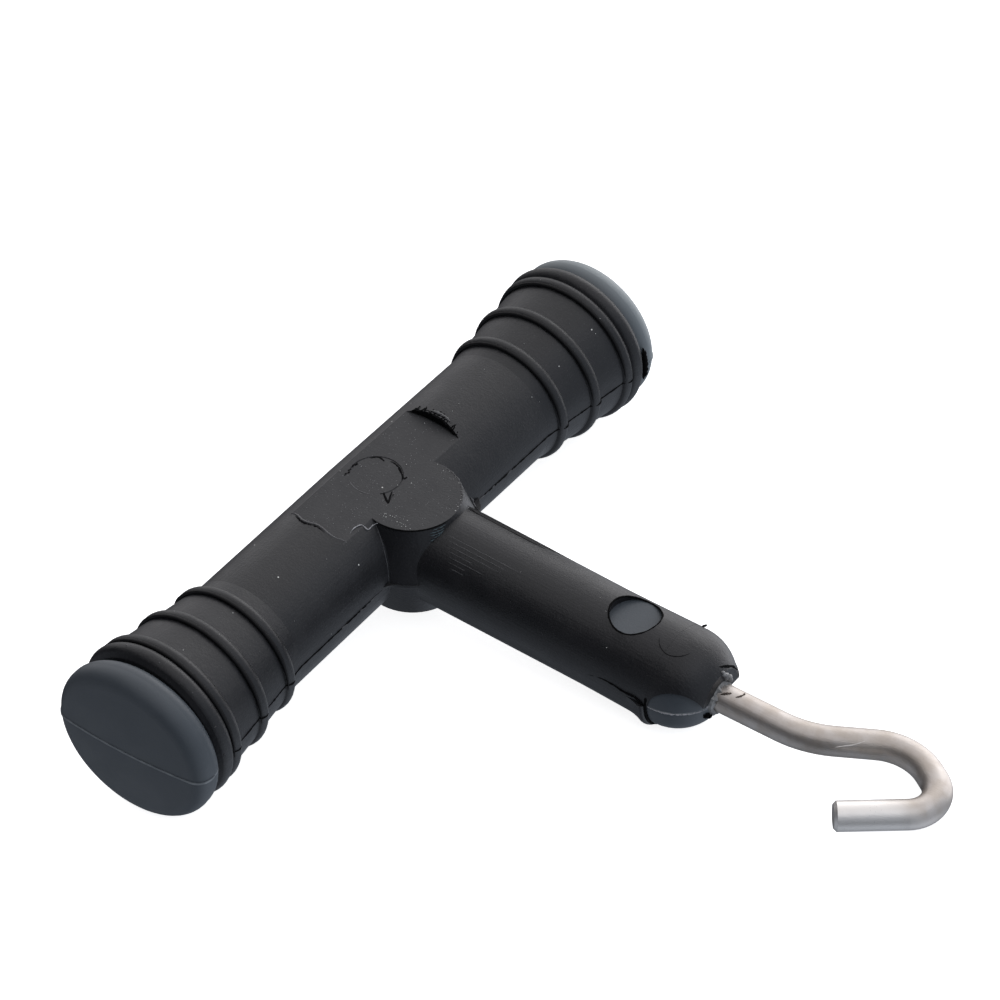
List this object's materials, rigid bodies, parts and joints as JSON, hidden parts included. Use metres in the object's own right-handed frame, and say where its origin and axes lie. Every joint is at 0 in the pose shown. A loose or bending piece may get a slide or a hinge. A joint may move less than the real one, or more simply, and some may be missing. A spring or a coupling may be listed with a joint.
{
  "type": "t-handle hook puller",
  "caption": "T-handle puller with an open round-wire hook on its stem, for pulling loops, knots and rigs tight by hand.",
  "frame": {"origin": "centre of the whole tool's bounding box, on the mould's parting plane", "axes": "+X along the stem towards the hook, +Y along the grip bar, +Z square to the mould's parting plane"},
  "size_m": [0.0762, 0.0782, 0.0178],
  "materials": {
    "hook_wire": "drawn stainless wire, satin to bright",
    "hard_core": "fine satin moulding, dark blue-grey",
    "soft_grip": "satin soft-touch overmould, near black, matt flats"
  },
  "bodies": {
    "root": {"hook_wire": "hook_wire", "hard_core": "hard_core", "soft_grip": "soft_grip"}
  },
  "joints": []
}
